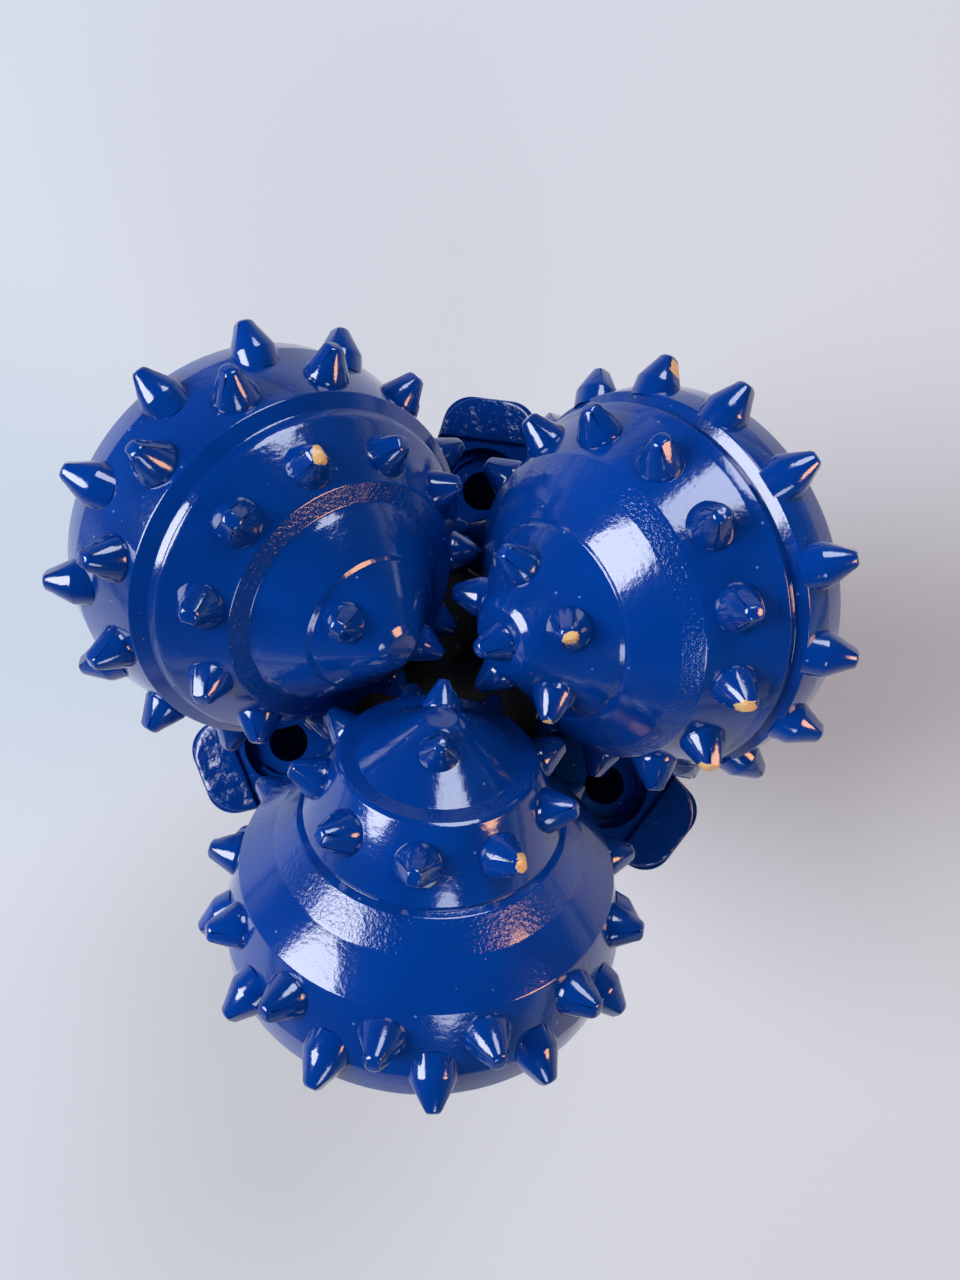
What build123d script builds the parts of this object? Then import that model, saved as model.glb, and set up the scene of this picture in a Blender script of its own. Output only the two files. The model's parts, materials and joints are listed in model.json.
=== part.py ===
"""Tricone rock bit, 6 3/4 in gauge, with tungsten carbide inserts and sealed journal bearings.

Three leg forgings, each a 120 degree sector of the bit, are welded side by side and carry the
API 3 1/2 REG pin between them. Each leg ends in a spindle that a cone turns on, held by balls.

Bit frame: millimetres, +Z from the pin end (z = 0) to the cones, origin on the bit's axis.
Leg frame: the bit frame turned so that +X runs out through the middle of the leg.
Spindle frame: +Z along the cone's axis towards its nose, z = 0 nearest to the bit's axis.
"""
from build123d import *
from math import atan, cos, degrees, radians, sin
import os

os.makedirs("parts", exist_ok=True)

# Driving dimensions: the whole bit
LEG_AZIMUTHS = {1: 30, 2: 150, 3: 270}
LEG_JOINT = -38  # azimuth in the leg frame of the joint with the leg before it
LEG_SECTOR = 120
CONE_HEIGHT = 231  # height of the point of each cone axis nearest to the bit's axis
JOURNAL_ANGLE = 35.0
CONE_OFFSET = 1.3

# API 3 1/2 REG pin, as turned before its thread is cut
PIN_END_R = 65.09 / 2
PIN_ROOT_R = PIN_END_R + 82.55 / 8
PIN_CYLINDER_R = 87.33 / 2
PIN_CYLINDER_FOOT = 82.55
SHOULDER_Z = 95.25
SHOULDER_R = 52.2
WATER_BORE_R = 38.1 / 2

# Body between the shoulder and the cones
SHANK_R = 57
SHANK_TOP = 114
BODY_R = 66
BODY_TOP = 150
ARM_R = 83.5
ARM_HALF_WIDTH = 43
ARM_TOP = 216
FLARE_TOP = 150

# Nozzle in its boss, half way between two cones
NOZZLE_AZIMUTH = 60
NOZZLE_PITCH_R = 52
BOSS_R = 77.5
BOSS_WIDTH = 24
BOSS_FOOT_WIDTH = 30
BOSS_TOP = 158
NOZZLE_SEAT = 137
NOZZLE_TOP = 154
NOZZLE_R = 11.5
JET_R = 5.5

# Spindle and the bearing that the cone turns on, along the spindle axis
BACK_FACE = -78.0
LEG_FACE = -78.7
SPINDLE_ROOT = -83
JOURNAL_R = 21.5
RUNNING_FIT = 0.05
RACE_Z = -48.5
RACE_PITCH_R = 21.7
BALL_R = 5.0
BALLS = 12
THRUST_FACE = -42.5
PILOT_R = 11.5
PILOT_END = -31.2
GLAND_R = 28
GLAND_FOOT = -72.5
BUSH_OUTER_R = 24.5
BUSH_END = -54.6
CONE_LAND_R = 21.9
NOSE_BUSH_R = 14
NOSE_BUSH_END = -31.0
BUTTON_R = 9.5
BUTTON_END = -28.0
BALL_HOLE_R = 5.5

# Grease reservoir in the flare of the leg
RESERVOIR_R = 12.5
RESERVOIR_DEPTH = 22

# Outer profile of each cone, as (radius, height on the spindle axis) from the back face to the nose
CONE_PROFILES = {
    1: [(37.6, -78), (45.3, -72.6), (46.0, -67.0), (45.7, -60.6), (43.0, -59.6), (42.9, -57.9),
        (44.0, -57.0), (42.5, -54.9), (35.5, -40.8), (31.6, -37.4), (23.4, -31.8), (22.4, -31.5),
        (21.8, -30.6), (9.2, -18.0), (7.5, -16.9), (0, -16.9)],
    2: [(38.0, -78), (46.2, -73.0), (47.0, -66.0), (43.3, -47.5), (40.2, -45.6), (39.3, -43.9),
        (39.9, -43.3), (39.2, -42.4), (29.0, -32.3), (24.6, -31.7), (23.4, -30.2), (16.4, -22.9),
        (15.2, -22.4), (5.5, -12.5), (3.5, -11.5), (0, -11.5)],
    3: [(38.0, -78), (46.2, -73.0), (46.6, -66.0), (42.9, -51.1), (35.2, -44.6), (30.0, -38.7),
        (28.2, -38.3), (28.8, -37.0), (21.8, -21.9), (20.8, -21.3), (17.4, -21.3), (5.5, -12.5),
        (3.5, -11.5), (0, -11.5)],
}

# Rows of inserts: count, angle of the first, height and radius of the middle of the land, lean
# towards the back face in degrees, insert radius, projection, grip in the cone
INSERT_ROWS = {
    1: {
        "gauge": (15, 184.3, -66.0, 46.1, 33, 5.1, 7.0, 8.0),
        "outer": (14, 277.0, -47.5, 38.6, -25, 5.1, 7.2, 8.0),
        "nose": (5, 257.0, -23.5, 15.0, -44, 4.6, 6.5, 4.5),
        "tip": (1, 0.0, -17.0, 0.0, -90, 4.6, 6.5, 5.0),
    },
    2: {
        "gauge": (13, 256.5, -66.0, 46.6, 32, 5.1, 7.0, 8.0),
        "drive": (13, 270.4, -54.0, 44.5, -10, 5.1, 7.2, 8.0),
        "outer": (11, 269.4, -37.2, 33.2, -43, 5.1, 6.4, 8.0),
        "nose": (2, 284.0, -18.5, 11.8, -40, 4.3, 6.0, 5.0),
    },
    3: {
        "gauge": (13, 252.5, -66.3, 46.0, 32, 5.1, 7.0, 6.5),
        "drive": (13, 266.3, -57.8, 44.2, -8, 5.1, 7.2, 6.5),
        "inner": (9, 269.6, -29.2, 25.2, -24, 4.9, 6.9, 6.5),
        "nose": (2, 275.5, -14.5, 7.6, -55, 4.3, 6.0, 5.0),
    },
}

SPINDLE = Plane(
    origin=(0, CONE_OFFSET, CONE_HEIGHT),
    x_dir=(0, 1, 0),
    z_dir=(-cos(radians(JOURNAL_ANGLE)), 0, sin(radians(JOURNAL_ANGLE))),
)
RESERVOIR = Plane(
    origin=(71, 0, 133),
    x_dir=(0, 1, 0),
    z_dir=(cos(radians(JOURNAL_ANGLE)), 0, -sin(radians(JOURNAL_ANGLE))),
)
NOZZLE_X = Vector(cos(radians(NOZZLE_AZIMUTH)), sin(radians(NOZZLE_AZIMUTH)), 0)


def radial_plane(azimuth):
    """Plane through the bit's axis whose x runs outwards at this azimuth and whose y runs up."""
    angle = radians(azimuth)
    return Plane(origin=(0, 0, 0), x_dir=(cos(angle), sin(angle), 0), z_dir=(sin(angle), -cos(angle), 0))


def nozzle_plane(height):
    """Level plane on the nozzle's axis, with x running away from the bit's axis."""
    return Plane(origin=NOZZLE_X * NOZZLE_PITCH_R + Vector(0, 0, height), x_dir=NOZZLE_X, z_dir=(0, 0, 1))


def insert_places(row):
    """One location for each insert of a row: z out of the cone, x along the insert's crest."""
    count, first, height, radius, lean = row[:5]
    tilt = radians(lean)
    places = []
    for number in range(count):
        spin = radians(first + number * 360 / count)
        out = Vector(cos(spin), sin(spin), 0)
        point = out * radius + Vector(0, 0, height)
        crest = out * sin(tilt) + Vector(0, 0, cos(tilt))
        places.append(Plane(origin=point, x_dir=crest, z_dir=out * cos(tilt) - Vector(0, 0, sin(tilt))))
    return places


def write(part, name):
    part.label = name
    export_step(part, f"parts/{name}.step")


def write_on_legs(part, name, place=Location()):
    """Write one copy of a piece for each leg, from its place in the leg frame."""
    for number, azimuth in LEG_AZIMUTHS.items():
        write(part.moved(Location((0, 0, 0), (0, 0, azimuth)) * place), f"{name}_{number}")


# Room that a turning cone sweeps, with its inserts, beside the leg
with BuildPart() as cone_room:
    with BuildSketch(Plane.XZ):
        with BuildLine():
            Polyline(
                (0, LEG_FACE), (54.5, LEG_FACE), (54.5, -56), (48.5, -40), (38, -22), (20, -4), (0, 4),
                close=True,
            )
        make_face()
    revolve(axis=Axis.Z)

# Weld bead that fills the groove between two legs, from the shoulder to the body's top
with BuildPart() as weld_bead:
    with BuildSketch(radial_plane(LEG_JOINT - 2)):
        with BuildLine():
            Polyline(
                (SHANK_R - 4, 102), (SHANK_R + 0.9, 102), (SHANK_R + 0.9, SHANK_TOP - 0.3),
                (BODY_R + 0.9, FLARE_TOP - 23.3), (BODY_R + 0.9, 141), (BODY_R - 4, 141),
                (BODY_R - 4, FLARE_TOP - 22), (SHANK_R - 4, SHANK_TOP + 1), close=True,
            )
        make_face()
    revolve(axis=Axis.Z, revolution_arc=4)

# Arm and nozzle boss, cut to the flare that leads from the shank to the arm's outer face
with BuildPart() as shoulders:
    with BuildSketch(Plane.YZ):
        with BuildLine():
            Polyline(
                (-ARM_HALF_WIDTH, 105), (ARM_HALF_WIDTH, 105), (ARM_HALF_WIDTH, 160),
                (ARM_HALF_WIDTH - 4, ARM_TOP), (4 - ARM_HALF_WIDTH, ARM_TOP), (-ARM_HALF_WIDTH, 160),
                close=True,
            )
        make_face()
    extrude(amount=90)
    fillet(shoulders.edges().filter_by(Axis.X).group_by(Axis.Z)[-1], 24)
    # the arm narrows towards the bit's axis, which leaves the nozzles on both sides free
    with BuildSketch(Plane.XY.offset(105)):
        with BuildLine():
            Polyline(
                (20, -22), (40, -27), (74, -ARM_HALF_WIDTH), (90, -ARM_HALF_WIDTH),
                (90, ARM_HALF_WIDTH), (74, ARM_HALF_WIDTH), (40, 27), (20, 22), close=True,
            )
        make_face()
    extrude(amount=ARM_TOP - 105, mode=Mode.INTERSECT)
    with BuildSketch(nozzle_plane(105)) as boss_outline:
        with BuildLine():
            Polyline(
                (-10, -BOSS_FOOT_WIDTH / 2), (8, -BOSS_FOOT_WIDTH / 2),
                (BOSS_R - NOZZLE_PITCH_R, -BOSS_WIDTH / 2), (BOSS_R - NOZZLE_PITCH_R, BOSS_WIDTH / 2),
                (8, BOSS_FOOT_WIDTH / 2), (-10, BOSS_FOOT_WIDTH / 2), close=True,
            )
        make_face()
        fillet(boss_outline.vertices().group_by(Axis.X)[-1], 8)
        Circle(NOZZLE_R + 6.5)
    extrude(amount=BOSS_TOP - 105)
    with BuildSketch(radial_plane(LEG_JOINT)):
        with BuildLine():
            Polyline(
                (22, 105), (SHANK_R - 3, 105), (SHANK_R, SHANK_TOP), (ARM_R, FLARE_TOP),
                (ARM_R, ARM_TOP), (22, ARM_TOP), close=True,
            )
        make_face()
    revolve(axis=Axis.Z, revolution_arc=LEG_SECTOR, mode=Mode.INTERSECT)

# Spindle: journal, ball race, thrust face and pilot pin, turned about the cone's axis
with BuildPart() as spindle:
    with BuildSketch(Plane.XZ):
        with BuildLine():
            race_edge = (BALL_R + RUNNING_FIT) ** 2 - (RACE_PITCH_R - JOURNAL_R) ** 2
            race_half = race_edge ** 0.5
            Polyline(
                (JOURNAL_R, RACE_Z - race_half), (JOURNAL_R, LEG_FACE + 1), (JOURNAL_R + 1, LEG_FACE),
                (JOURNAL_R + 5, LEG_FACE), (JOURNAL_R + 5, SPINDLE_ROOT), (0, SPINDLE_ROOT),
                (0, PILOT_END), (PILOT_R - 1, PILOT_END), (PILOT_R, PILOT_END - 1),
                (PILOT_R, THRUST_FACE), (JOURNAL_R - 0.8, THRUST_FACE),
                (JOURNAL_R, THRUST_FACE - 0.8), (JOURNAL_R, RACE_Z + race_half),
            )
            ThreePointArc(
                (JOURNAL_R, RACE_Z + race_half),
                (RACE_PITCH_R - BALL_R - RUNNING_FIT, RACE_Z),
                (JOURNAL_R, RACE_Z - race_half),
            )
        make_face()
    revolve(axis=Axis.Z)

BALL_HOLE_Z = (
    CONE_HEIGHT + RACE_Z * sin(radians(JOURNAL_ANGLE)) - RACE_PITCH_R * cos(radians(JOURNAL_ANGLE))
)
BALL_HOLE_END = -RACE_Z * cos(radians(JOURNAL_ANGLE)) - RACE_PITCH_R * sin(radians(JOURNAL_ANGLE))
BALL_HOLE = Plane(origin=(ARM_R + 5, CONE_OFFSET, BALL_HOLE_Z), x_dir=(0, 1, 0), z_dir=(-1, 0, 0))

# Leg forging: a sector of the pin, shank and body, with its arm, nozzle boss and spindle
with BuildPart() as leg:
    with BuildSketch(radial_plane(LEG_JOINT)):
        with BuildLine():
            Polyline(
                (WATER_BORE_R, 0), (PIN_END_R - 1.5, 0), (PIN_END_R, 1.5),
                (PIN_ROOT_R, PIN_CYLINDER_FOOT - 0.8), (PIN_CYLINDER_R, PIN_CYLINDER_FOOT),
                (PIN_CYLINDER_R, SHOULDER_Z), (SHOULDER_R, SHOULDER_Z), (SHANK_R, 100),
                (SHANK_R, SHANK_TOP), (BODY_R, FLARE_TOP - 23), (BODY_R, BODY_TOP), (0, BODY_TOP),
                (0, 135), (30, 131), (34, 120), (30, 108), (WATER_BORE_R, 98), close=True,
            )
        make_face()
    revolve(axis=Axis.Z, revolution_arc=LEG_SECTOR)
    add(shoulders.part)
    for neighbour in (0, LEG_SECTOR, -LEG_SECTOR):
        room = Location((0, 0, 0), (0, 0, neighbour)) * SPINDLE.location
        add(cone_room.part.moved(room), mode=Mode.SUBTRACT)
    add(spindle.part.moved(SPINDLE.location))
    for joint in (0, LEG_SECTOR):
        add(weld_bead.part.moved(Location((0, 0, 0), (0, 0, joint))), mode=Mode.SUBTRACT)
    # ball hole, from the arm's outer face to the race
    with BuildSketch(BALL_HOLE):
        Circle(BALL_HOLE_R)
    extrude(amount=ARM_R + 5 - BALL_HOLE_END, mode=Mode.SUBTRACT)
    # grease reservoir and its passage to the ball hole
    with BuildSketch(RESERVOIR.offset(12)):
        Circle(RESERVOIR_R)
    extrude(amount=-12 - RESERVOIR_DEPTH, mode=Mode.SUBTRACT)
    with BuildSketch(RESERVOIR.offset(-3)):
        Circle(RESERVOIR_R + 1)
    extrude(amount=1.2, mode=Mode.SUBTRACT)
    with BuildSketch(Plane(origin=(55, 0, 148), x_dir=(0, 1, 0), z_dir=(0.16, 0, 1))):
        Circle(2)
    extrude(amount=BALL_HOLE_Z - 148, mode=Mode.SUBTRACT)
    # nozzle seat, seal groove, clip groove, and the passage from the water course
    with BuildSketch(nozzle_plane(NOZZLE_SEAT)):
        Circle(NOZZLE_R)
    extrude(amount=BOSS_TOP - NOZZLE_SEAT, mode=Mode.SUBTRACT)
    with BuildSketch(nozzle_plane(141)):
        Circle(NOZZLE_R + 2)
    extrude(amount=3.5, mode=Mode.SUBTRACT)
    with BuildSketch(nozzle_plane(NOZZLE_TOP)):
        Circle(NOZZLE_R + 1.2)
    extrude(amount=1.5, mode=Mode.SUBTRACT)
    with BuildSketch(nozzle_plane(127)):
        Circle(8)
    extrude(amount=NOZZLE_SEAT - 127, mode=Mode.SUBTRACT)
    feed = Plane(
        origin=NOZZLE_X * NOZZLE_PITCH_R + Vector(0, 0, 131),
        x_dir=(-NOZZLE_X.Y, NOZZLE_X.X, 0),
        z_dir=NOZZLE_X * -34 + Vector(0, 0, -16),
    )
    with BuildSketch(feed):
        Circle(8)
    extrude(amount=36, mode=Mode.SUBTRACT)
write_on_legs(leg.part, "leg")

with BuildPart() as weld_beads:
    for joint in LEG_AZIMUTHS.values():
        add(weld_bead.part.moved(Location((0, 0, 0), (0, 0, joint))))
write(weld_beads.part, "weld_beads")

# Ball plug: a head that closes the ball hole once the balls are in, just under the arm's face,
# and a stem past the grease passage that stops short of the race
with BuildPart() as ball_plug:
    with BuildSketch(BALL_HOLE.offset(7)):
        Circle(BALL_HOLE_R)
    extrude(amount=14)
    with BuildSketch(BALL_HOLE.offset(21)):
        Circle(BALL_HOLE_R - 1.7)
    extrude(amount=ARM_R - 16 - BALL_HOLE_END - 7)
    with BuildSketch(BALL_HOLE.offset(7)):
        Circle(2.2)
    extrude(amount=2, mode=Mode.SUBTRACT)
write_on_legs(ball_plug.part, "ball_plug")

# Journal bush, pressed into the cone, with three axial grease grooves
with BuildPart() as journal_bush:
    with BuildSketch(Plane.XY.offset(GLAND_FOOT)):
        Circle(BUSH_OUTER_R)
        Circle(JOURNAL_R + RUNNING_FIT, mode=Mode.SUBTRACT)
        with PolarLocations(JOURNAL_R + RUNNING_FIT, 3):
            Circle(1.2, mode=Mode.SUBTRACT)
    extrude(amount=BUSH_END - GLAND_FOOT)
write_on_legs(journal_bush.part, "journal_bush", SPINDLE.location)

# Seal ring in the cone's gland, tall in section with bevelled lips, that wipes the journal
with BuildPart() as cone_seal:
    with BuildSketch(Plane.XZ) as seal_section:
        with Locations(((JOURNAL_R + RUNNING_FIT + GLAND_R) / 2, GLAND_FOOT - 2.4)):
            Rectangle(GLAND_R - JOURNAL_R - RUNNING_FIT, 4.6)
        chamfer(seal_section.vertices(), 1.2)
    revolve(axis=Axis.Z)
write_on_legs(cone_seal.part, "cone_seal", SPINDLE.location)

# Nose bush on the pilot pin, and the thrust button at its end, both pressed into the cone
with BuildPart() as nose_bush:
    with BuildSketch(Plane.XY.offset(THRUST_FACE + 0.4)):
        Circle(NOSE_BUSH_R)
        Circle(PILOT_R + RUNNING_FIT, mode=Mode.SUBTRACT)
    extrude(amount=NOSE_BUSH_END - THRUST_FACE - 0.4)
write_on_legs(nose_bush.part, "nose_bush", SPINDLE.location)

with BuildPart() as thrust_button:
    with BuildSketch(Plane.XY.offset(NOSE_BUSH_END)):
        Circle(BUTTON_R)
    extrude(amount=BUTTON_END - NOSE_BUSH_END)
write_on_legs(thrust_button.part, "thrust_button", SPINDLE.location)

# Balls that hold the cone on its spindle
with BuildPart() as lock_balls:
    with Locations((0, 0, RACE_Z)):
        with PolarLocations(RACE_PITCH_R, BALLS, start_angle=90 + 180 / BALLS):
            Sphere(BALL_R)
write_on_legs(lock_balls.part, "lock_balls", SPINDLE.location)

# Nozzle of carbide: its passage narrows from the feed to the jet
with BuildPart() as nozzle:
    with BuildSketch(nozzle_plane(NOZZLE_SEAT)):
        Circle(NOZZLE_R)
    extrude(amount=NOZZLE_TOP - NOZZLE_SEAT)
    with BuildSketch(nozzle_plane(NOZZLE_SEAT)):
        Circle(8)
    with BuildSketch(nozzle_plane(NOZZLE_TOP - 6)):
        Circle(JET_R)
    loft(mode=Mode.SUBTRACT)
    with BuildSketch(nozzle_plane(NOZZLE_TOP - 6)):
        Circle(JET_R)
    extrude(amount=6, mode=Mode.SUBTRACT)
write_on_legs(nozzle.part, "nozzle")

with BuildPart() as nozzle_seal:
    with BuildSketch(nozzle_plane(141.2)):
        Circle(NOZZLE_R + 2)
        Circle(NOZZLE_R, mode=Mode.SUBTRACT)
    extrude(amount=3.1)
    chamfer(nozzle_seal.edges().filter_by(GeomType.CIRCLE), 0.6)
write_on_legs(nozzle_seal.part, "nozzle_seal")

with BuildPart() as nozzle_clip:
    with BuildSketch(nozzle_plane(NOZZLE_TOP)):
        Circle(NOZZLE_R + 1.2)
        Circle(NOZZLE_R - 2.2, mode=Mode.SUBTRACT)
        with Locations((NOZZLE_R, 0)):
            Rectangle(8, 7, mode=Mode.SUBTRACT)
    extrude(amount=1.5)
write_on_legs(nozzle_clip.part, "nozzle_clip")

# Grease reservoir, from the bottom of its bore outwards: canister, diaphragm, cap and clip
with BuildPart() as reservoir_canister:
    with BuildSketch(RESERVOIR.offset(-RESERVOIR_DEPTH)):
        Circle(RESERVOIR_R)
    extrude(amount=RESERVOIR_DEPTH - 7)
    with BuildSketch(RESERVOIR.offset(-RESERVOIR_DEPTH + 1.6)):
        Circle(RESERVOIR_R - 1.5)
    extrude(amount=RESERVOIR_DEPTH - 7, mode=Mode.SUBTRACT)
    with BuildSketch(RESERVOIR.offset(-RESERVOIR_DEPTH)):
        Circle(2)
    extrude(amount=4, mode=Mode.SUBTRACT)
write_on_legs(reservoir_canister.part, "reservoir_canister")

with BuildPart() as reservoir_diaphragm:
    with BuildSketch(RESERVOIR.offset(-7)):
        Circle(RESERVOIR_R)
    extrude(amount=1.2)
    with BuildSketch(RESERVOIR.offset(-7)):
        Circle(RESERVOIR_R - 3)
    extrude(amount=-9, taper=8)
    with BuildSketch(RESERVOIR.offset(-5.8)):
        Circle(RESERVOIR_R - 4.2)
    extrude(amount=-9, taper=8, mode=Mode.SUBTRACT)
write_on_legs(reservoir_diaphragm.part, "reservoir_diaphragm")

with BuildPart() as reservoir_cap:
    with BuildSketch(RESERVOIR.offset(-5.8)):
        Circle(RESERVOIR_R)
    extrude(amount=2.8)
    with BuildSketch(RESERVOIR.offset(-3)):
        Circle(7)
    extrude(amount=2)
    with BuildSketch(RESERVOIR.offset(-5.8)):
        Circle(1.5)
    extrude(amount=6, mode=Mode.SUBTRACT)
write_on_legs(reservoir_cap.part, "reservoir_cap")

with BuildPart() as reservoir_clip:
    with BuildSketch(RESERVOIR.offset(-3)):
        Circle(RESERVOIR_R + 1)
        Circle(RESERVOIR_R - 2, mode=Mode.SUBTRACT)
        with Locations((RESERVOIR_R, 0)):
            Rectangle(8, 7, mode=Mode.SUBTRACT)
    extrude(amount=1.2)
write_on_legs(reservoir_clip.part, "reservoir_clip")

for number in CONE_PROFILES:
    with BuildPart() as cone:
        with BuildSketch(Plane.XZ):
            with BuildLine():
                race_edge = (BALL_R + RUNNING_FIT) ** 2 - (RACE_PITCH_R - CONE_LAND_R) ** 2
                race_half = race_edge ** 0.5
                Polyline(
                    (CONE_LAND_R, RACE_Z - race_half), (CONE_LAND_R, BUSH_END), (BUSH_OUTER_R, BUSH_END),
                    (BUSH_OUTER_R, GLAND_FOOT), (GLAND_R, GLAND_FOOT), (GLAND_R, BACK_FACE),
                    *CONE_PROFILES[number],
                    (0, BUTTON_END), (BUTTON_R, BUTTON_END), (BUTTON_R, NOSE_BUSH_END), (NOSE_BUSH_R, NOSE_BUSH_END),
                    (NOSE_BUSH_R, THRUST_FACE + 0.4), (CONE_LAND_R, THRUST_FACE + 0.4),
                    (CONE_LAND_R, RACE_Z + race_half),
                )
                ThreePointArc(
                    (CONE_LAND_R, RACE_Z + race_half),
                    (RACE_PITCH_R + BALL_R + RUNNING_FIT, RACE_Z),
                    (CONE_LAND_R, RACE_Z - race_half),
                )
            make_face()
        revolve(axis=Axis.Z)
        for row in INSERT_ROWS[number].values():
            radius, projection, grip = row[5:]
            with BuildSketch(*[place.offset(-grip) for place in insert_places(row)]):
                Circle(radius)
            extrude(amount=grip + 8, mode=Mode.SUBTRACT)
    in_bit = Location((0, 0, 0), (0, 0, LEG_AZIMUTHS[number])) * SPINDLE.location
    write(cone.part.moved(in_bit), f"cone_{number}")

    # Carbide inserts: a cylinder pressed into the cone and a blunt cone with two chisel flats
    for row_name, row in INSERT_ROWS[number].items():
        radius, projection, grip = row[5:]
        with BuildPart() as insert:
            with BuildSketch(Plane.XZ):
                with BuildLine():
                    Polyline(
                        (0, -grip), (radius, -grip), (radius, 0.6), (0.42 * radius, 0.92 * projection),
                        (0.28 * radius, projection), (0, projection), close=True,
                    )
                make_face()
            revolve(axis=Axis.Z)
            slope = degrees(atan(0.66 * radius / (projection - 1.2)))
            for side in (1, -1):
                flat = Plane(origin=(0, side * 0.26 * radius, projection)).rotated((side * (90 - slope), 0, 0))
                split(bisect_by=flat, keep=Keep.BOTTOM)
        with BuildPart() as inserts:
            with Locations(*[place.location for place in insert_places(row)]):
                add(insert.part)
        write(inserts.part.moved(in_bit), f"cone_{number}_{row_name}_inserts")
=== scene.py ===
"""Tricone rock bit, dressed: blue enamel over forged legs, turned cones and carbide inserts."""
import json
from math import atan, cos, pi, radians, sin
import bmesh
import bpy
from mathutils import Matrix, Vector, noise


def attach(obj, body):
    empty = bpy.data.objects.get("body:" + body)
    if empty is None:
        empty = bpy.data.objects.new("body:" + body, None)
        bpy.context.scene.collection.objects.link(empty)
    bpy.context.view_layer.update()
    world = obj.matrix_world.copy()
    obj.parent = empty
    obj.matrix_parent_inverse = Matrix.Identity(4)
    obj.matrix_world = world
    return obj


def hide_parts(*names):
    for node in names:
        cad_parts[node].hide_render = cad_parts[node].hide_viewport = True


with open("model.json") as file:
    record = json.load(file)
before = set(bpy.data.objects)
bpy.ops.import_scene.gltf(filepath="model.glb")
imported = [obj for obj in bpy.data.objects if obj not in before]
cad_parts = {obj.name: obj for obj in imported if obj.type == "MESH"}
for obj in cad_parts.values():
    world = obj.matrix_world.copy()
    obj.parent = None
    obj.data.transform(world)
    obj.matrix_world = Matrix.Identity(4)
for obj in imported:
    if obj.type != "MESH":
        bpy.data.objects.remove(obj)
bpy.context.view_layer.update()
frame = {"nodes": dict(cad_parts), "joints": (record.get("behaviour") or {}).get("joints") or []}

# ---------------------------------------------------------------------------------------------
# Camera: a phone held nearly level, 192 mm over the cones' axes of the bit, which stands on its
# pin. Its main lens sees 68 degrees along the long side of the frame.
MM = 0.001
phone_x, phone_y, phone_rise = 12.97, 1.23, 192
phone_turn, phone_roll, phone_pitch = 7.57, 1.43, 2.04
cone_height = frame["joints"][0]["pos_m"][2]
camera = bpy.data.objects.new("camera", bpy.data.cameras.new("camera"))
bpy.context.scene.collection.objects.link(camera)
camera.data.sensor_width = 36
camera.data.lens = 26.72
camera.data.clip_start = 0.01
camera.matrix_world = (
    Matrix.Translation((phone_x * MM, phone_y * MM, cone_height + phone_rise * MM))
    @ Matrix.Rotation(radians(phone_turn), 4, "Z")
    @ Matrix.Rotation(radians(phone_roll), 4, "Y")
    @ Matrix.Rotation(radians(phone_pitch), 4, "X")
)
bpy.context.scene.camera = camera


# ---------------------------------------------------------------------------------------------
# Leg forgings: die-forged alloy steel, machined inside, then sprayed with gloss enamel over all
# but the pin. Each carries a third of the pin, and the three are welded side by side.
def linear(code):
    """Scene linear colour of an sRGB hex code."""
    parts = [int(code[place:place + 2], 16) / 255 for place in (1, 3, 5)]
    return [p / 12.92 if p <= 0.04045 else ((p + 0.055) / 1.055) ** 2.4 for p in parts] + [1.0]


def add_node(tree, kind, inputs=(), **settings):
    """A node of this kind with its settings; inputs maps socket names to values or to sockets."""
    node = tree.nodes.new("ShaderNode" + kind)
    for name, value in settings.items():
        setattr(node, name, value)
    for name, value in dict(inputs).items():
        if isinstance(value, bpy.types.NodeSocket):
            tree.links.new(value, node.inputs[name])
        else:
            node.inputs[name].default_value = value
    return node


def new_material(name):
    """An empty material with its node tree, Principled shader and object coordinates."""
    material = bpy.data.materials.new(name)
    material.use_nodes = True
    tree = material.node_tree
    tree.nodes.clear()
    shader = add_node(tree, "BsdfPrincipled")
    output = add_node(tree, "OutputMaterial")
    tree.links.new(shader.outputs["BSDF"], output.inputs["Surface"])
    place = add_node(tree, "TexCoord").outputs["Object"]
    return material, tree, shader, place


def per_mm(size):
    """Texture scale, per metre, whose features are about this many millimetres across."""
    return 1000 / size


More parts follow.
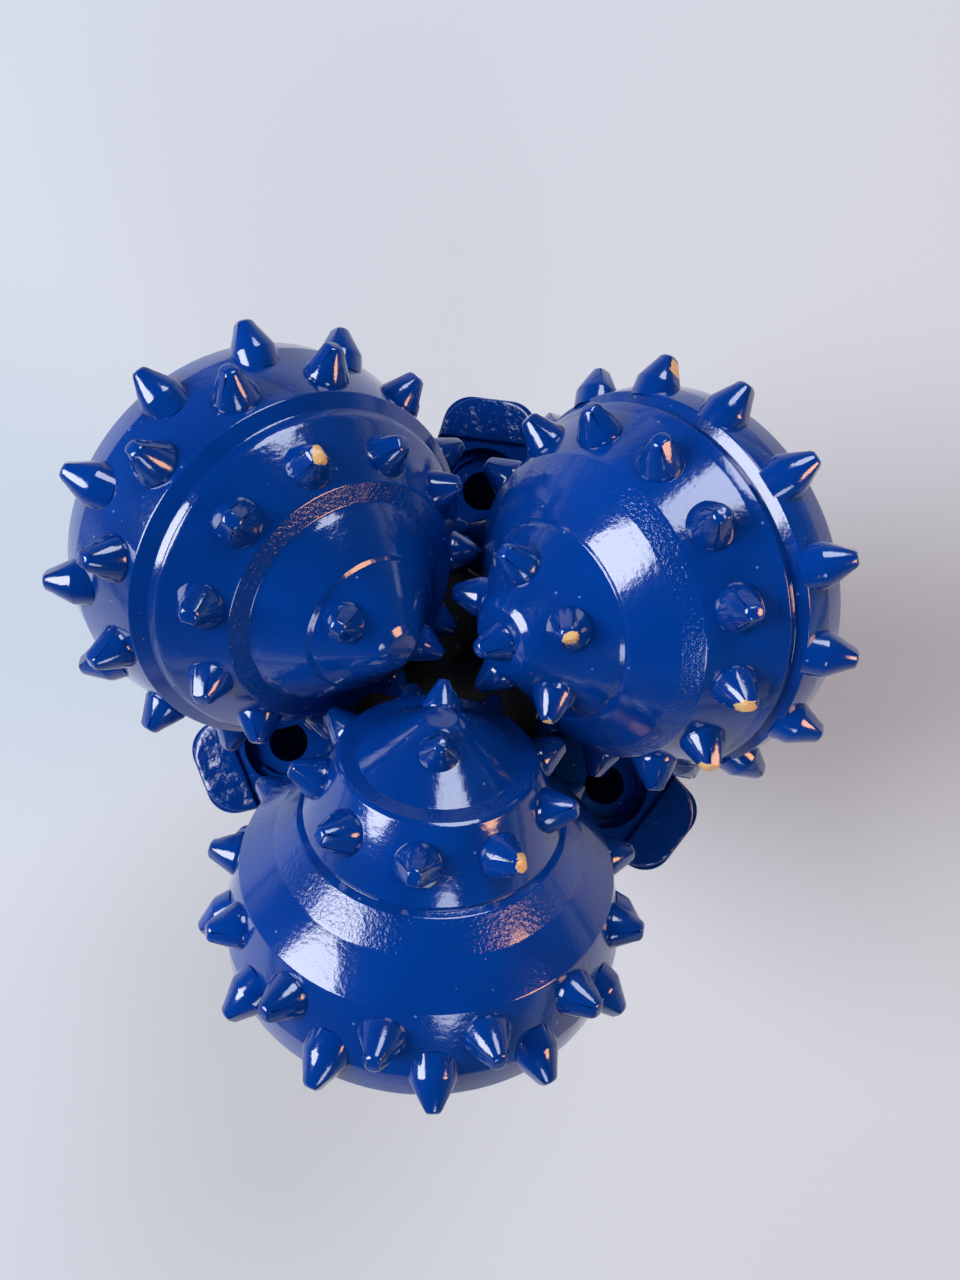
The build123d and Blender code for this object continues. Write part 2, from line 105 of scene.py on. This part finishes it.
def gloss_enamel(name, skin_bump):
    """Sprayed alkyd enamel. The eye gets a deep even blue with a wet gloss, the fine orange peel
    of thick spray, and dust that settled while it was tacky. skin_bump is how strongly the skin of
    the steel under it shows."""
    material, tree, shader, place = new_material(name)
    # thicker and thinner coats, about 30 mm apart
    cloud = add_node(tree, "TexNoise", {"Vector": place, "Scale": per_mm(30), "Detail": 3.0})
    blue = add_node(tree, "ValToRGB", {"Fac": cloud.outputs["Fac"]})
    blue.color_ramp.elements[0].position = 0.3
    blue.color_ramp.elements[0].color = linear("#012A6C")
    blue.color_ramp.elements[1].position = 0.7
    blue.color_ramp.elements[1].color = linear("#023584")
    # one cell of 2.4 mm in eight holds a dust speck, 0.6 mm across so that it shows
    grain = add_node(tree, "TexVoronoi", {"Vector": place, "Scale": per_mm(2.4)})
    pick = add_node(tree, "SeparateColor", {"Color": grain.outputs["Color"]})
    few = add_node(tree, "Math", {0: pick.outputs["Red"], 1: 0.88}, operation="GREATER_THAN")
    small = add_node(tree, "Math", {0: grain.outputs["Distance"], 1: 0.12}, operation="LESS_THAN")
    speck = add_node(tree, "Math", {0: few.outputs[0], 1: small.outputs[0]}, operation="MULTIPLY")
    faint = add_node(tree, "Math", {0: speck.outputs[0], 1: 0.4}, operation="MULTIPLY")
    dusty = add_node(
        tree, "Mix",
        {"Factor": faint.outputs[0], "A": blue.outputs["Color"], "B": linear("#7F9BD0")},
        data_type="RGBA",
    )
    tree.links.new(dusty.outputs["Result"], shader.inputs["Base Color"])
    # the film is wetter and drier in patches 9 mm across
    film = add_node(tree, "TexNoise", {"Vector": place, "Scale": per_mm(9), "Detail": 4.0})
    gloss = add_node(
        tree, "MapRange", {"Value": film.outputs["Fac"], "To Min": 0.07, "To Max": 0.16}
    )
    tree.links.new(gloss.outputs["Result"], shader.inputs["Roughness"])
    # orange peel 1.3 mm across, and the steel's own skin 3.5 mm across
    peel = add_node(tree, "TexNoise", {"Vector": place, "Scale": per_mm(1.3), "Detail": 2.0})
    skin = add_node(tree, "TexNoise", {"Vector": place, "Scale": per_mm(3.5), "Detail": 6.0})
    peel_depth, skin_depth = 0.3, 1.2
    fine = add_node(
        tree, "Bump",
        {"Height": peel.outputs["Fac"], "Strength": 0.16, "Distance": peel_depth * MM},
    )
    coarse = add_node(
        tree, "Bump",
        {"Height": skin.outputs["Fac"], "Strength": skin_bump, "Distance": skin_depth * MM,
         "Normal": fine.outputs["Normal"]},
    )
    tree.links.new(coarse.outputs["Normal"], shader.inputs["Normal"])
    shader.inputs["IOR"].default_value = 1.5
    shader.inputs["Coat Weight"].default_value = 0.4
    shader.inputs["Coat Roughness"].default_value = 0.06
    return material, tree, shader, place


def show_instead(tree, shader, mask, code, roughness):
    """Where the mask is 1, show a surface of this colour and roughness in place of the enamel."""
    colour, rough = shader.inputs["Base Color"], shader.inputs["Roughness"]
    under = add_node(
        tree, "Mix", {"Factor": mask, "A": colour.links[0].from_socket, "B": linear(code)},
        data_type="RGBA",
    )
    matt = add_node(
        tree, "Mix", {"Factor": mask, "A": rough.links[0].from_socket, "B": roughness},
        data_type="FLOAT",
    )
    tree.links.new(under.outputs["Result"], colour)
    tree.links.new(matt.outputs["Result"], rough)


def add_piece(name, maker, material, body, nodes=(), smooth=38):
    """A new piece from a bmesh, riding on a body, that stands for these CAD nodes. Edges that
    turn by more than smooth degrees stay sharp; 0 keeps the shading that the mesh came with."""
    mesh = bpy.data.meshes.new(name)
    maker.to_mesh(mesh)
    maker.free()
    mesh.materials.clear()
    mesh.materials.append(material)
    if smooth:
        for polygon in mesh.polygons:
            polygon.use_smooth = True
        mesh.set_sharp_from_angle(angle=radians(smooth))
    piece = bpy.data.objects.new(name, mesh)
    bpy.context.scene.collection.objects.link(piece)
    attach(piece, body)
    if nodes:
        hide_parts(*nodes)
    return piece


shoulder_height = 95.25
thread_depth = 2.6
thread_end = 82.2
clear_of_bore = 29
mask_lap = 0.3
forging_enamel, tree, shader, place = gloss_enamel("gloss_enamel_on_forged_steel", 0.3)
# the pin is masked before the bit is sprayed and keeps its phosphate, a dull dark grey
axes = add_node(tree, "SeparateXYZ", {"Vector": place})
masked = add_node(
    tree, "Math", {0: axes.outputs["Z"], 1: (shoulder_height + mask_lap) * MM},
    operation="LESS_THAN",
)
show_instead(tree, shader, masked.outputs[0], "#3B3D3F", 0.55)
# painted shade: the middle between the cones, deep in the shade of the cones and legs, is painted
# near black as far out as 38 mm less a ragged fringe of up to 14 mm, from 10 mm over the shoulder
# up
painted_shade_reach, painted_shade_fringe, painted_shade_start = 38, 14, shoulder_height + 10
level = add_node(tree, "VectorMath", {0: place, 1: (1, 1, 0)}, operation="MULTIPLY")
reach = add_node(tree, "VectorMath", {0: level.outputs["Vector"]}, operation="LENGTH")
edge = add_node(tree, "TexNoise", {"Vector": place, "Scale": per_mm(7), "Detail": 4.0})
ragged = add_node(
    tree, "Math", {0: edge.outputs["Fac"], 1: painted_shade_fringe * MM, 2: reach.outputs["Value"]},
    operation="MULTIPLY_ADD",
)
in_painted_shade = add_node(
    tree, "Math", {0: ragged.outputs[0], 1: painted_shade_reach * MM}, operation="LESS_THAN"
)
high = add_node(
    tree, "Math", {0: axes.outputs["Z"], 1: painted_shade_start * MM}, operation="GREATER_THAN"
)
painted_shade_mask = add_node(tree, "Math", {0: in_painted_shade.outputs[0], 1: high.outputs[0]}, operation="MULTIPLY")
# painted shade: near black and matt in the middle between the cones, where shade falls
show_instead(tree, shader, painted_shade_mask.outputs[0], "#07080B", 0.8)
for number in (1, 2, 3):
    node = frame["nodes"][f"leg_{number}"]
    forging = bmesh.new()
    forging.from_mesh(node.data)
    forging.transform(node.matrix_world)
    # the pin goes down to the root of its thread, which is laid on next
    for vert in forging.verts:
        away = Vector((vert.co.x, vert.co.y, 0))
        if vert.co.z < thread_end * MM and away.length > clear_of_bore * MM:
            vert.co -= away.normalized() * thread_depth * MM
    add_piece(
        f"leg_{number}_forging", forging, forging_enamel, "bit_body",
        [f"leg_{number}"], smooth=0,
    )


# ---------------------------------------------------------------------------------------------
# Nozzle boss crowns: the rough top of each boss, as the forging die left it, spot-faced away
# round the nozzle and sprayed over, so the gloss breaks up on its ridges.
def next_ring(bm, edges):
    """Extrude these edges on the spot: the new edges and the new verts, for the caller to move."""
    grown = bmesh.ops.extrude_edge_only(bm, edges=edges)["geom"]
    ring_edges = [item for item in grown if isinstance(item, bmesh.types.BMEdge)]
    ring_verts = [item for item in grown if isinstance(item, bmesh.types.BMVert)]
    return ring_edges, ring_verts


boss_enamel = gloss_enamel("gloss_enamel_on_boss_crown", 0.5)[0]
boss_top = 158
crown_sunk = 0.4
crown_outline = [(65.4, -13.9), (77.3, -11.8), (77.3, 11.8), (65.4, 13.9)]
crown_middle = 71.0
crown_corner, short_edge = 8.6, 3
# each ring's width, as a share of the first, and its rise: a rounded edge first, then the top
crown_rings = [
    (1.0, 0.7), (0.985, 0.4), (0.95, 0.25), (0.9, 0.1), (0.82, 0.05), (0.74, 0), (0.66, 0),
    (0.57, 0), (0.48, 0), (0.39, 0), (0.3, 0), (0.2, 0), (0.1, 0),
]
ridge_length, ridge_width, ridge_height = 6, 2.5, 0.4
for number, azimuth in ((1, 90), (2, 210), (3, 330)):
    crown = bmesh.new()
    corners = [
        crown.verts.new((x * MM, y * MM, (boss_top - crown_sunk) * MM)) for x, y in crown_outline
    ]
    crown.faces.new(corners)
    bmesh.ops.bevel(
        crown, geom=corners[1:3], offset=crown_corner * MM, segments=9, profile=0.5,
        affect="VERTICES", material=-1,
    )
    long_edges = [edge for edge in crown.edges if edge.calc_length() > short_edge * MM]
    bmesh.ops.subdivide_edges(crown, edges=long_edges, cuts=11)
    rim = crown.edges[:]
    middle = Matrix.Translation((-crown_middle * MM, 0, 0))
    width = 1.0
    for next_width, rise in crown_rings:
        rim, ring = next_ring(crown, rim)
        shrink = next_width / width
        bmesh.ops.scale(crown, vec=(shrink, shrink, 1), space=middle, verts=ring)
        bmesh.ops.translate(crown, vec=(0, 0, rise * MM), verts=ring)
        width = next_width
    bmesh.ops.holes_fill(crown, edges=rim, sides=0)
    for vert in crown.verts:
        if vert.co.z > (boss_top + 0.9) * MM:
            across = (vert.co.x / (ridge_length * MM), vert.co.y / (ridge_width * MM), number)
            vert.co.z += ridge_height * noise.noise(Vector(across)) * MM
    bmesh.ops.recalc_face_normals(crown, faces=crown.faces)
    bmesh.ops.rotate(crown, matrix=Matrix.Rotation(radians(azimuth), 3, "Z"), verts=crown.verts)
    add_piece(f"boss_crown_{number}", crown, boss_enamel, "bit_body", smooth=60)

# ---------------------------------------------------------------------------------------------
# Pin thread: API 3 1/2 REG, five turns to the inch on a taper of one in four on the diameter,
# cut after the legs are welded and then phosphated.

# phosphate: fine grey crystals, a dull dark grey with no shine
phosphate, tree, shader, place = new_material("zinc_phosphate_on_pin_thread")
crystals = add_node(tree, "TexNoise", {"Vector": place, "Scale": per_mm(0.8), "Detail": 3.0})
grey = add_node(tree, "ValToRGB", {"Fac": crystals.outputs["Fac"]})
grey.color_ramp.elements[0].color = linear("#2F3133")
grey.color_ramp.elements[1].color = linear("#4B4D4F")
tree.links.new(grey.outputs["Color"], shader.inputs["Base Color"])
shader.inputs["Roughness"].default_value = 0.55
pitch = 25.4 / 5
pin_end_r = 65.09 / 2
thread_start = 5.5
turns, steps = 14, 72
# the ridge stands on a foot that reaches 0.4 mm into the pin, and its crest is cut off flat
foot = -thread_depth - 0.4
thread = bmesh.new()
section = [
    thread.verts.new(((pin_end_r + r) * MM, 0, (thread_start + z) * MM))
    for r, z in ((foot, -2.15), (-0.15, -0.55), (-0.15, 0.55), (foot, 2.15))
]
for start, end in zip(section, section[1:]):
    thread.edges.new((start, end))
bmesh.ops.spin(
    thread, geom=thread.verts[:] + thread.edges[:], cent=(0, 0, 0), axis=(0, 0, 1),
    dvec=(0, 0, pitch / steps * MM), angle=2 * pi * turns, steps=steps * turns, use_merge=False,
)
# a taper of one in four on the diameter is one in eight on the radius
for vert in thread.verts:
    away = Vector((vert.co.x, vert.co.y, 0)).normalized()
    vert.co += away * vert.co.z / 8
bmesh.ops.recalc_face_normals(thread, faces=thread.faces)
add_piece("pin_thread", thread, phosphate, "bit_body", smooth=30)

# ---------------------------------------------------------------------------------------------
# Weld beads: submerged-arc welds that join the legs from the shoulder to the body's top. Each
# pass froze in ripples, which the enamel covers but doesn't hide.
weld_enamel = gloss_enamel("gloss_enamel_on_weld", 0.4)[0]
# radius and height of the seam, up the shank and over the body's shoulder
seam = [(57.0, 101.0), (57.0, 114.0), (66.0, 127.0), (66.0, 141.0)]
# across the bead and out from the seam
bead_section = [
    (-2.7, -3.4), (-2.7, -0.9), (-1.9, 0.2), (-0.7, 0.6), (0.7, 0.6), (1.9, 0.2), (2.7, -0.9),
    (2.7, -3.4),
]
ripple_length = 1.5
ripple_rises = (0.22, -0.06, -0.16)
beads = bmesh.new()
for azimuth in (-8, 112, 232):
    bead = bmesh.new()
    start_r, start_z = seam[0]
    loop = [
        bead.verts.new(((start_r + r) * MM, y * MM, start_z * MM)) for y, r in bead_section
    ]
    bead.faces.new(loop)
    edges = bead.edges[:]
    for (r0, z0), (r1, z1) in zip(seam, seam[1:]):
        length = ((r1 - r0) ** 2 + (z1 - z0) ** 2) ** 0.5
        count = 3 * round(length / ripple_length)
        for step in range(count):
            edges, ring = next_ring(bead, edges)
            out = (r1 - r0) / count + ripple_rises[step % 3]
            up = (z1 - z0) / count
            bmesh.ops.translate(bead, verts=ring, vec=(out * MM, 0, up * MM))
    bmesh.ops.holes_fill(bead, edges=edges, sides=0)
    bmesh.ops.recalc_face_normals(bead, faces=bead.faces)
    bead.transform(Matrix.Rotation(radians(azimuth), 4, "Z"))
    part = bpy.data.meshes.new("bead")
    bead.to_mesh(part)
    bead.free()
    beads.from_mesh(part)
add_piece(
    "weld_bead_ripples", beads, weld_enamel, "bit_body", ["weld_beads"], smooth=70
)


# ---------------------------------------------------------------------------------------------
# Ball plugs: steel pins pushed in behind the lock balls, which they keep in their race. Their
# ends are welded shut, dressed and sprayed with the leg.
def paint(node_name, material):
    """Give a CAD node this material in place of its own."""
    slots = frame["nodes"][node_name].material_slots
    for slot in slots:
        slot.link = "OBJECT"
        slot.material = material
    if not slots:
        frame["nodes"][node_name].data.materials.append(material)


def plain_material(name, code, roughness, metallic):
    """A surface that is even all over: one colour, one roughness, metal or not."""
    material, _, shader, _ = new_material(name)
    shader.inputs["Base Color"].default_value = linear(code)
    shader.inputs["Roughness"].default_value = roughness
    shader.inputs["Metallic"].default_value = metallic
    return material


for number in (1, 2, 3):
    paint(f"ball_plug_{number}", weld_enamel)

# ---------------------------------------------------------------------------------------------
# Journal bearing: bronze bushes pressed in the cone, ground steel balls, a cobalt alloy thrust
# button and a nitrile seal. All of it is closed in behind the cone.

# turned bronze: a warm brown metal with a satin shine
bronze = plain_material("leaded_bearing_bronze", "#A9824C", 0.35, 1.0)
# polished balls: nearly white, and they mirror what is round them
ball_steel = plain_material("polished_bearing_steel", "#C9CACC", 0.08, 1.0)
# a ground face: grey metal with a soft mirror
cobalt = plain_material("ground_cobalt_alloy", "#A8A9AC", 0.22, 1.0)
# rubber: nearly black and matt
nitrile = plain_material("moulded_nitrile_rubber", "#17181A", 0.6, 0.0)
for number in (1, 2, 3):
    paint(f"journal_bush_{number}", bronze)
    paint(f"nose_bush_{number}", bronze)
    paint(f"lock_balls_{number}", ball_steel)
    paint(f"thrust_button_{number}", cobalt)
    paint(f"cone_seal_{number}", nitrile)

# ---------------------------------------------------------------------------------------------
# Nozzles: sintered carbide on a nitrile ring, held by a snap ring. The spray has gone over all
# that shows of them.
fitting_enamel = gloss_enamel("gloss_enamel_on_fittings", 0.05)[0]
for number in (1, 2, 3):
    paint(f"nozzle_{number}", fitting_enamel)
    paint(f"nozzle_clip_{number}", fitting_enamel)
    paint(f"nozzle_seal_{number}", nitrile)

# ---------------------------------------------------------------------------------------------
# Grease reservoirs: a turned canister and a nitrile diaphragm behind a cap with a snap ring,
# sprayed over with the leg.

# turned steel: mid grey with the broad shine of fine tool marks
turned_steel = plain_material("turned_canister_steel", "#8E9195", 0.35, 1.0)
for number in (1, 2, 3):
    paint(f"reservoir_cap_{number}", fitting_enamel)
    paint(f"reservoir_clip_{number}", fitting_enamel)
    paint(f"reservoir_canister_{number}", turned_steel)
    paint(f"reservoir_diaphragm_{number}", nitrile)


# ---------------------------------------------------------------------------------------------
# Cones: turned from forged steel blanks, with grooves that clear the rows of the next cones.
# The enamel rounds their edges, so each corner of the profile is eased before it is spun.
def cone_frame(number):
    """Matrix of the cone's own frame: z along its axis to the nose, x square to the leg."""
    joint = next(j for j in frame["joints"] if j["name"] == f"cone_{number}_spin")
    axis = Vector(joint["axis"]).normalized()
    across = Vector((axis.y, -axis.x, 0)).normalized()
    down = axis.cross(across)
    turned = Matrix((across, down, axis)).transposed().to_4x4()
    return Matrix.Translation(joint["pos_m"]) @ turned


def lathe(profile, ease, steps):
    """A bmesh turned about z from (radius, height) points in mm. Its corners are eased by this
    much; 0 leaves them sharp."""
    bm = bmesh.new()
    points = [bm.verts.new((r * MM, 0, z * MM)) for r, z in profile]
    for start, end in zip(points, points[1:]):
        bm.edges.new((start, end))
    if ease:
        bmesh.ops.bevel(
            bm, geom=points[1:-1], offset=ease * MM, segments=3, profile=0.5, affect="VERTICES",
            material=-1,
        )
    bmesh.ops.spin(
        bm, geom=bm.verts[:] + bm.edges[:], cent=(0, 0, 0), axis=(0, 0, 1), angle=2 * pi,
        steps=steps, use_merge=True,
    )
    bmesh.ops.remove_doubles(bm, verts=bm.verts, dist=1e-6)
    return bm


# radius and height of each corner from the back face to the nose; the bit's axis passes at 0
cone_profiles = {
    1: [(37.6, -78), (45.3, -72.6), (46.0, -67.0), (45.7, -60.6), (43.0, -59.6), (42.9, -57.9),
        (44.0, -57.0), (42.5, -54.9), (35.5, -40.8), (31.6, -37.4), (23.4, -31.8), (22.4, -31.5),
        (21.8, -30.6), (9.2, -18.0), (7.5, -16.9), (0, -16.9)],
    2: [(38.0, -78), (46.2, -73.0), (47.0, -66.0), (43.3, -47.5), (40.2, -45.6), (39.3, -43.9),
        (39.9, -43.3), (39.2, -42.4), (29.0, -32.3), (24.6, -31.7), (23.4, -30.2), (16.4, -22.9),
        (15.2, -22.4), (5.5, -12.5), (3.5, -11.5), (0, -11.5)],
    3: [(38.0, -78), (46.2, -73.0), (46.6, -66.0), (42.9, -51.1), (35.2, -44.6), (30.0, -38.7),
        (28.2, -38.3), (28.8, -37.0), (21.8, -21.9), (20.8, -21.3), (17.4, -21.3), (5.5, -12.5),
        (3.5, -11.5), (0, -11.5)],
}
# faces left as the roughing tool cut them, from this radius down to that one, on the nose's side
rough_faces = {1: [(35.3, 31.8)], 2: [(28.6, 24.8)], 3: [(34.8, 30.2), (20.6, 17.6)]}
rough_side = -50
gland_mouth = [(28.0, -70.5), (28.0, -78.0)]
cone_edge, pit_depth = 0.28, 0.4
# enamel over turned steel: as glossy as the rest, but pebbled where the cut was left rough
cone_enamel, tree, shader, place = gloss_enamel("gloss_enamel_on_turned_steel", 0.05)
tool_marks = add_node(tree, "Attribute", attribute_name="rough_cut")
pits = add_node(tree, "TexNoise", {"Vector": place, "Scale": per_mm(0.8), "Detail": 3.0})
cut = add_node(
    tree, "Math", {0: pits.outputs["Fac"], 1: tool_marks.outputs["Fac"]}, operation="MULTIPLY"
)
torn = add_node(
    tree, "Bump",
    {"Height": cut.outputs[0], "Strength": 0.45, "Distance": pit_depth * MM,
     "Normal": shader.inputs["Normal"].links[0].from_socket},
)
tree.links.new(torn.outputs["Normal"], shader.inputs["Normal"])
for number, profile in cone_profiles.items():
    shell = lathe(gland_mouth + profile, cone_edge, 160)
    bmesh.ops.recalc_face_normals(shell, faces=shell.faces)
    mark = shell.faces.layers.float.new("rough_cut")
    for face in shell.faces:
        middle = face.calc_center_median()
        radius = (middle.x ** 2 + middle.y ** 2) ** 0.5 / MM
        on_face = any(high > radius > low for high, low in rough_faces[number])
        face[mark] = 1.0 if on_face and middle.z > rough_side * MM else 0.0
    bmesh.ops.transform(shell, matrix=cone_frame(number), verts=shell.verts)
    add_piece(
        f"cone_{number}_shell", shell, cone_enamel, f"cone_{number}_body",
        [f"cone_{number}"],
    )

# ---------------------------------------------------------------------------------------------
# Inserts: sintered tungsten carbide, pressed into drilled pockets, with a blunt cone cut by two
# chisel flats. The enamel softens their edges and has chipped off a few crests.

# in each row: how many, the angle of the first, height and radius of the pocket's mouth on the
# cone, how far the insert leans towards the back, its radius, and how far it stands out
insert_rows = {
    1: {
        "gauge": (15, 184.3, -66.0, 46.1, 33, 5.1, 7.0),
        "outer": (14, 277.0, -47.5, 38.6, -25, 5.1, 7.2),
        "nose": (5, 257.0, -23.5, 15.0, -44, 4.6, 6.5),
        "tip": (1, 0.0, -17.0, 0.0, -90, 4.6, 6.5),
    },
    2: {
        "gauge": (13, 256.5, -66.0, 46.6, 32, 5.1, 7.0),
        "drive": (13, 270.4, -54.0, 44.5, -10, 5.1, 7.2),
        "outer": (11, 269.4, -37.2, 33.2, -43, 5.1, 6.4),
        "nose": (2, 284.0, -18.5, 11.8, -40, 4.3, 6.0),
    },
    3: {
        "gauge": (13, 252.5, -66.3, 46.0, 32, 5.1, 7.0),
        "drive": (13, 266.3, -57.8, 44.2, -8, 5.1, 7.2),
        "inner": (9, 269.6, -29.2, 25.2, -24, 4.9, 6.9),
        "nose": (2, 275.5, -14.5, 7.6, -55, 4.3, 6.0),
    },
}


def insert_places(row):
    """Matrices, in the cone's frame, that stand an insert on each place of its row."""
    count, first, height, radius, lean = row[:5]
    tilt = radians(lean)
    places = []
    for number in range(count):
        spin = radians(first + number * 360 / count)
        away = Vector((cos(spin), sin(spin), 0))
        point = (away * radius + Vector((0, 0, height))) * MM
        crest = away * sin(tilt) + Vector((0, 0, cos(tilt)))
        out = away * cos(tilt) - Vector((0, 0, sin(tilt)))
        turned = Matrix((crest, out.cross(crest), out)).transposed().to_4x4()
        places.append(Matrix.Translation(point) @ turned)
    return places


def insert_shape(radius, projection):
    """Mesh of one insert's head: spun, then cut by the two flats, its edges eased by the paint."""
    foot, film, soft_edge = -4.0, 0.05, 0.3
    bm = lathe([
        (radius + film, foot), (radius + film, 0.3), (radius - film, 0.8),
        (0.43 * radius, 0.90 * projection), (0.36 * radius, 0.97 * projection),
        (0.24 * radius, projection), (0, projection),
    ], 0, 28)
    # a flat runs from a quarter of the radius at the tip to nearly all of it 1.2 mm over the cone
    crest = 0.26 * radius
    slope = atan(0.66 * radius / (projection - 1.2))
    for side in (1, -1):
        bmesh.ops.bisect_plane(
            bm, geom=bm.verts[:] + bm.edges[:] + bm.faces[:],
            plane_co=(0, side * crest * MM, projection * MM),
            plane_no=(0, side * cos(slope), sin(slope)), clear_outer=True,
        )
        rim = [edge for edge in bm.edges if edge.is_boundary
               and max(vert.co.z for vert in edge.verts) > (foot + 0.1) * MM]
        bmesh.ops.holes_fill(bm, edges=rim, sides=0)
    bmesh.ops.recalc_face_normals(bm, faces=bm.faces)
    sharp = [edge for edge in bm.edges if edge.is_manifold and edge.calc_face_angle(0) > radians(20)
             and min(vert.co.z for vert in edge.verts) > 1.0 * MM]
    bmesh.ops.bevel(
        bm, geom=sharp, offset=soft_edge * MM, segments=2, profile=0.5, affect="EDGES",
        material=-1,
    )
    mesh = bpy.data.meshes.new("insert")
    bm.to_mesh(mesh)
    bm.free()
    return mesh


# Chips in the paint at the crests: the cone, row and place of the insert, how far from its tip
# the chip lies in mm, and its radius. The eye gets small ragged spots of matt tan primer.
chip_fringe = 2.2
chips = (
    (1, "gauge", 6, (1.6, -3.2, 1.6), 2.2), (1, "outer", 11, (-0.6, -0.6, -0.2), 2.5),
    (1, "outer", 12, (-1.0, -1.2, -0.2), 2.4), (1, "nose", 4, (0.0, -0.5, 0.2), 1.2),
    (1, "nose", 0, (0.8, -1.2, -0.4), 1.9), (2, "outer", 10, (1.4, 0.1, 0.2), 2.4),
    (3, "inner", 1, (0.9, 0.7, 0.2), 2.4),
)
insert_enamel, tree, shader, place = gloss_enamel("gloss_enamel_on_carbide", 0.0)
torn_edge = add_node(tree, "TexNoise", {"Vector": place, "Scale": per_mm(1.4), "Detail": 4.0})
chipped = None
for cone, row_name, number, away, radius in chips:
    row = insert_rows[cone][row_name]
    tip = cone_frame(cone) @ insert_places(row)[number] @ Vector((0, 0, row[6] * MM))
    gap = add_node(
        tree, "VectorMath", {0: place, 1: tip + Vector(away) * MM}, operation="DISTANCE"
    )
    ragged = add_node(
        tree, "Math", {0: torn_edge.outputs["Fac"], 1: chip_fringe * MM, 2: gap.outputs["Value"]},
        operation="MULTIPLY_ADD",
    )
    inside = add_node(
        tree, "Math", {0: ragged.outputs[0], 1: (radius + chip_fringe / 2) * MM},
        operation="LESS_THAN",
    )
    if chipped is None:
        chipped = inside.outputs[0]
    else:
        both = add_node(tree, "Math", {0: chipped, 1: inside.outputs[0]}, operation="MAXIMUM")
        chipped = both.outputs[0]
show_instead(tree, shader, chipped, "#C7A067", 0.6)
for number, rows in insert_rows.items():
    for row_name, row in rows.items():
        shape = insert_shape(row[5], row[6])
        inserts = bmesh.new()
        for place in insert_places(row):
            first_new = len(inserts.verts)
            inserts.from_mesh(shape)
            inserts.verts.ensure_lookup_table()
            bmesh.ops.transform(
                inserts, matrix=cone_frame(number) @ place, verts=inserts.verts[first_new:]
            )
        add_piece(
            f"cone_{number}_{row_name}_heads", inserts, insert_enamel, f"cone_{number}_body",
            [f"cone_{number}_{row_name}_inserts"],
        )

# ---------------------------------------------------------------------------------------------
# Floor and soft studio light: a pale floor, a broad light on the left, weaker ones behind and
# in front, and a small warm one on the right.
floor_half = 4
floor_maker = bmesh.new()
bmesh.ops.create_grid(floor_maker, x_segments=1, y_segments=1, size=floor_half)
floor_mesh = bpy.data.meshes.new("floor")
floor_maker.to_mesh(floor_mesh)
floor_maker.free()
floor = bpy.data.objects.new("floor", floor_mesh)
bpy.context.scene.collection.objects.link(floor)
# smooth concrete: a pale matt grey that takes the bit's shadow
floor_mesh.materials.append(plain_material("pale_concrete", "#B4B9BC", 0.85, 0.0))

# each lamp's place and diameter in metres, its watts and its colour; all face the bit's middle
middle_of_bit = Vector((0, 0, 0.2))
for name, position, size, power, colour in (
    ("left_softbox", (-1.6, -0.2, 1.7), 1.4, 66, "#F4F8FF"),
    ("back_softbox", (0.6, 1.7, 1.9), 1.2, 34, "#EAF1FF"),
    ("front_softbox", (0.9, -1.9, 1.8), 0.8, 12, "#EAF1FF"),
    ("right_softbox", (1.4, -0.1, 1.0), 0.6, 14, "#FFB978"),
):
    lamp = bpy.data.objects.new(name, bpy.data.lights.new(name, "AREA"))
    lamp.data.shape = "DISK"
    lamp.data.size = size
    lamp.data.energy = power
    lamp.data.color = linear(colour)[:3]
    lamp.location = position
    lamp.rotation_euler = (middle_of_bit - lamp.location).to_track_quat("-Z", "Y").to_euler()
    bpy.context.scene.collection.objects.link(lamp)

# The sky lights the bit from all round. Looked at or mirrored it is a clear sky, pale at the
# horizon and deep blue overhead, which the level faces of the enamel mirror.
world = bpy.data.worlds.new("soft_sky")
bpy.context.scene.world = world
world.use_nodes = True
sky = world.node_tree
sky.nodes.clear()
path = add_node(sky, "LightPath")
visible = path.outputs["Is Camera Ray"]
for ray in ("Is Glossy Ray", "Is Transmission Ray"):
    either = add_node(sky, "Math", {0: visible, 1: path.outputs[ray]}, operation="MAXIMUM")
    visible = either.outputs[0]
light = add_node(sky, "Background", {"Color": linear("#9FC2FA"), "Strength": 0.22})
direction = add_node(sky, "TexCoord").outputs["Generated"]
climb = add_node(sky, "SeparateXYZ", {"Vector": direction})
tone = add_node(sky, "ValToRGB", {"Fac": climb.outputs["Z"]})
tone.color_ramp.elements[0].position = 0.0
tone.color_ramp.elements[0].color = linear("#B9C4D4")
tone.color_ramp.elements[1].position = 0.6
tone.color_ramp.elements[1].color = linear("#07132E")
tone.color_ramp.elements.new(0.14).color = linear("#4A6698")
seen = add_node(sky, "Background", {"Color": tone.outputs["Color"], "Strength": 1.0})
shown = add_node(sky, "MixShader", {0: visible, 1: light.outputs[0], 2: seen.outputs[0]})
add_node(sky, "OutputWorld", {"Surface": shown.outputs[0]})

# ---------------------------------------------------------------------------------------------
# The standard view transform, and the view layer brought up to date.
bpy.context.scene.view_settings.view_transform = "Standard"
bpy.context.view_layer.update()
